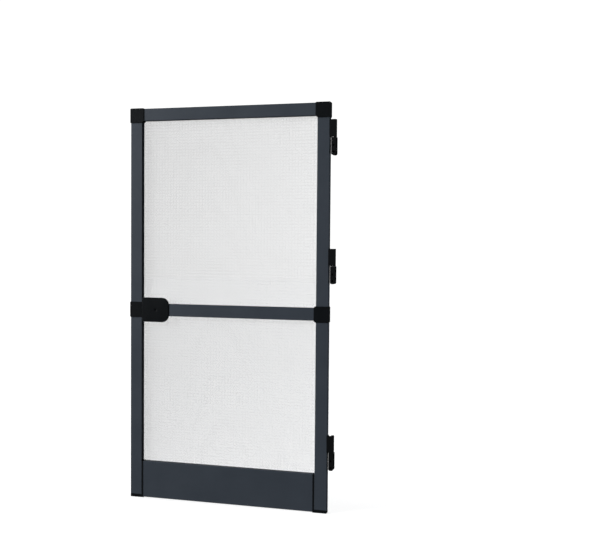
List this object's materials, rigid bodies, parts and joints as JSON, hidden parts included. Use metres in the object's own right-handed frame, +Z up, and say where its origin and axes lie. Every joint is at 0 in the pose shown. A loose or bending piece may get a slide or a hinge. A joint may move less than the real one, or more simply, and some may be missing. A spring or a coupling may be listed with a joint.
{
  "type": "insect screen door",
  "caption": "Hinged insect-screen door: metal frame with upper and lower mesh fields, a middle rail with a grip, a kick plate and self-closing spring hinges on wall brackets.",
  "frame": {"origin": "on the floor line, under the middle of the whole object's box", "axes": "+X across the door towards the hinges, +Y from the viewer's side towards the wall, +Z up"},
  "size_m": [1.137, 0.065, 2.103],
  "materials": {
    "coated_aluminium": "satin",
    "black_plastic": "satin",
    "hinge_plastic": "satin",
    "screen_mesh": "matte",
    "spline_rubber": "matte",
    "zinc_steel": "satin",
    "black_steel": "satin",
    "ferrite": "matte",
    "nylon": "satin"
  },
  "bodies": {
    "wall_side": {"hinge_bracket_bottom": "hinge_plastic", "hinge_pin_bottom": "zinc_steel", "hinge_spring_bottom": "zinc_steel", "hinge_washer_bottom": "nylon", "hinge_bracket_middle": "hinge_plastic", "hinge_pin_middle": "zinc_steel", "hinge_spring_middle": "zinc_steel", "hinge_washer_middle": "nylon", "hinge_bracket_top": "hinge_plastic", "hinge_pin_top": "zinc_steel", "hinge_spring_top": "zinc_steel", "hinge_washer_top": "nylon", "keeper_plates": "zinc_steel"},
    "leaf": {"catch_housings": "black_plastic", "catch_magnets": "ferrite", "corner_connector_hinge": "black_plastic", "corner_connector_latch": "black_plastic", "foot_hinge": "black_plastic", "foot_latch": "black_plastic", "frame_screws": "zinc_steel", "grip_nut": "zinc_steel", "grip_plate": "black_plastic", "grip_pull": "black_plastic", "grip_screw": "black_steel", "hinge_cap_bottom": "hinge_plastic", "hinge_cap_middle": "hinge_plastic", "hinge_cap_top": "hinge_plastic", "hinge_leaf_bottom": "hinge_plastic", "hinge_leaf_middle": "hinge_plastic", "hinge_leaf_screws": "zinc_steel", "hinge_leaf_top": "hinge_plastic", "kick_bracket_hinge": "black_plastic", "kick_bracket_latch": "black_plastic", "kick_bracket_screws": "zinc_steel", "kick_plate": "coated_aluminium", "mesh_lower": "screen_mesh", "mesh_upper": "screen_mesh", "rail_middle": "coated_aluminium", "rail_top": "coated_aluminium", "spline_lower": "spline_rubber", "spline_upper": "spline_rubber", "stile_hinge": "coated_aluminium", "stile_latch": "coated_aluminium", "tee_connector_hinge": "black_plastic", "tee_connector_latch": "black_plastic"}
  },
  "joints": [
    {"name": "leaf_hinge", "type": "hinge", "parent": "wall_side", "child": "leaf", "pos_m": [0.5605, -0.0135, 0], "axis": [0, 0, 1], "range_deg": [0, 160], "stiffness_Nm_per_rad": 1, "springref_deg": -45.84}
  ]
}
